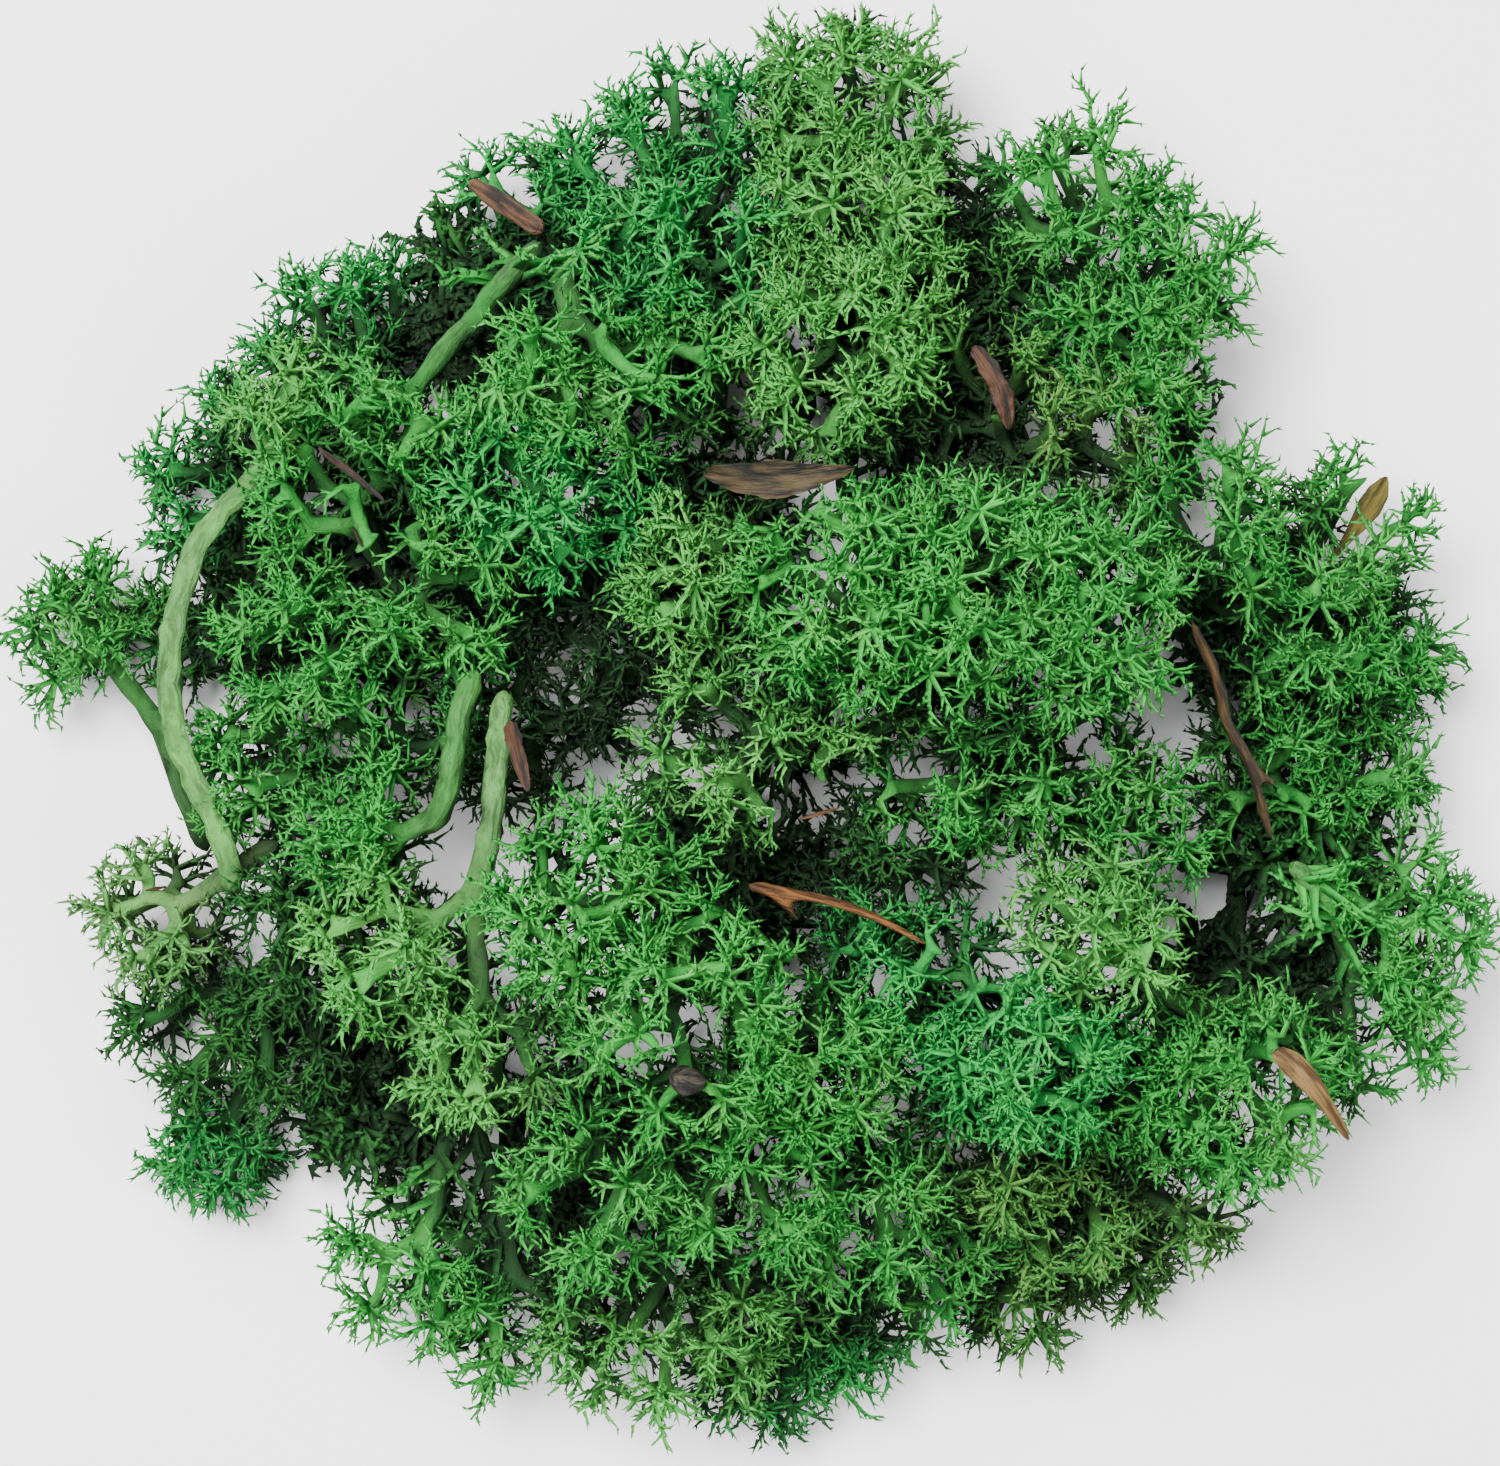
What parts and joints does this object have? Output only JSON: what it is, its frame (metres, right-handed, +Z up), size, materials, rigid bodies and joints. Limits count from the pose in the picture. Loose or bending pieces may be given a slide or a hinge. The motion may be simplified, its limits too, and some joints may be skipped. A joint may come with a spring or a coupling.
{
  "type": "reindeer moss clump",
  "caption": "Loose cushion of dyed, preserved reindeer moss: forked stems ending in fine bushy heads, with dry needles, bark and leaf scraps caught in it.",
  "frame": {"origin": "middle of the clump's outline, on the plane that it lies on", "axes": "+Z up; +Y towards the top of the reference picture, which looks straight down"},
  "size_m": [0.1509, 0.1456, 0.0565],
  "materials": {
    "lichen_pale": "matt dyed lichen, soft and slightly fuzzy",
    "lichen_bright": "matt dyed lichen, soft and slightly fuzzy",
    "lichen_green": "matt dyed lichen, soft and slightly fuzzy",
    "lichen_emerald": "matt dyed lichen, soft and slightly fuzzy",
    "lichen_deep": "matt dyed lichen, soft and slightly fuzzy",
    "lichen_muddy": "matt dyed lichen, soft and slightly fuzzy",
    "lichen_bare": "matt and fibrous, with the fine heads worn off",
    "needle_dark": "dry needle, matt",
    "needle_tan": "dry needle, slight sheen",
    "needle_red": "dry needle, matt",
    "twig": "dry bark, matt",
    "leaf_brown": "dry curled leaf, matt",
    "bract_tan": "dry papery scale, slight sheen",
    "leaf_olive": "dry small leaf, slight sheen",
    "bark_red": "shredded bark, matt and fibrous",
    "bark_tan": "split wood, matt and fibrous",
    "bud_grey": "dry bud, matt"
  },
  "bodies": {
    "root": {"pale_north": "lichen_pale", "emerald_north": "lichen_emerald", "emerald_northwest": "lichen_emerald", "fan_north": "lichen_green", "fan_northwest": "lichen_green", "rim_northwest": "lichen_emerald", "arching_stem_west": "lichen_pale", "sprig_far_west": "lichen_green", "green_west": "lichen_green", "emerald_west": "lichen_emerald", "green_west_low": "lichen_green", "deep_west": "lichen_deep", "long_stems_southwest": "lichen_pale", "forked_stem_west": "lichen_green", "hanging_southwest": "lichen_green", "dark_west": "lichen_deep", "bare_branches_west": "lichen_bare", "sprig_southwest": "lichen_emerald", "bright_south_centre": "lichen_bright", "green_south": "lichen_green", "pale_south": "lichen_pale", "sprig_south": "lichen_emerald", "sprig_south_small": "lichen_green", "green_southeast": "lichen_green", "bright_centre": "lichen_bright", "pale_arm_centre": "lichen_pale", "pale_centre": "lichen_pale", "green_centre_east": "lichen_green", "dark_centre": "lichen_deep", "crown_northeast": "lichen_green", "muddy_northeast": "lichen_muddy", "gap_twigs_north": "lichen_deep", "green_east": "lichen_green", "rim_east": "lichen_green", "inner_east": "lichen_green", "bright_east": "lichen_bright", "pale_limb_east": "lichen_pale", "teal_southeast": "lichen_emerald", "soft_southeast": "lichen_green", "dark_southeast": "lichen_muddy", "rim_southeast": "lichen_muddy", "under_north": "lichen_deep", "under_west": "lichen_deep", "under_northwest": "lichen_deep", "under_southwest": "lichen_deep", "under_east": "lichen_deep", "under_centre": "lichen_deep", "dark_needle": "needle_dark", "short_needle": "needle_dark", "needle_pair": "needle_tan", "pale_stalk": "needle_tan", "forked_twig": "twig", "red_needle": "needle_red", "curled_leaf": "leaf_brown", "tan_bract": "bract_tan", "olive_leaf": "leaf_olive", "shredded_bark": "bark_red", "bark_strip": "bark_red", "woody_stub": "bark_tan", "dry_bud": "bud_grey"}
  },
  "joints": []
}
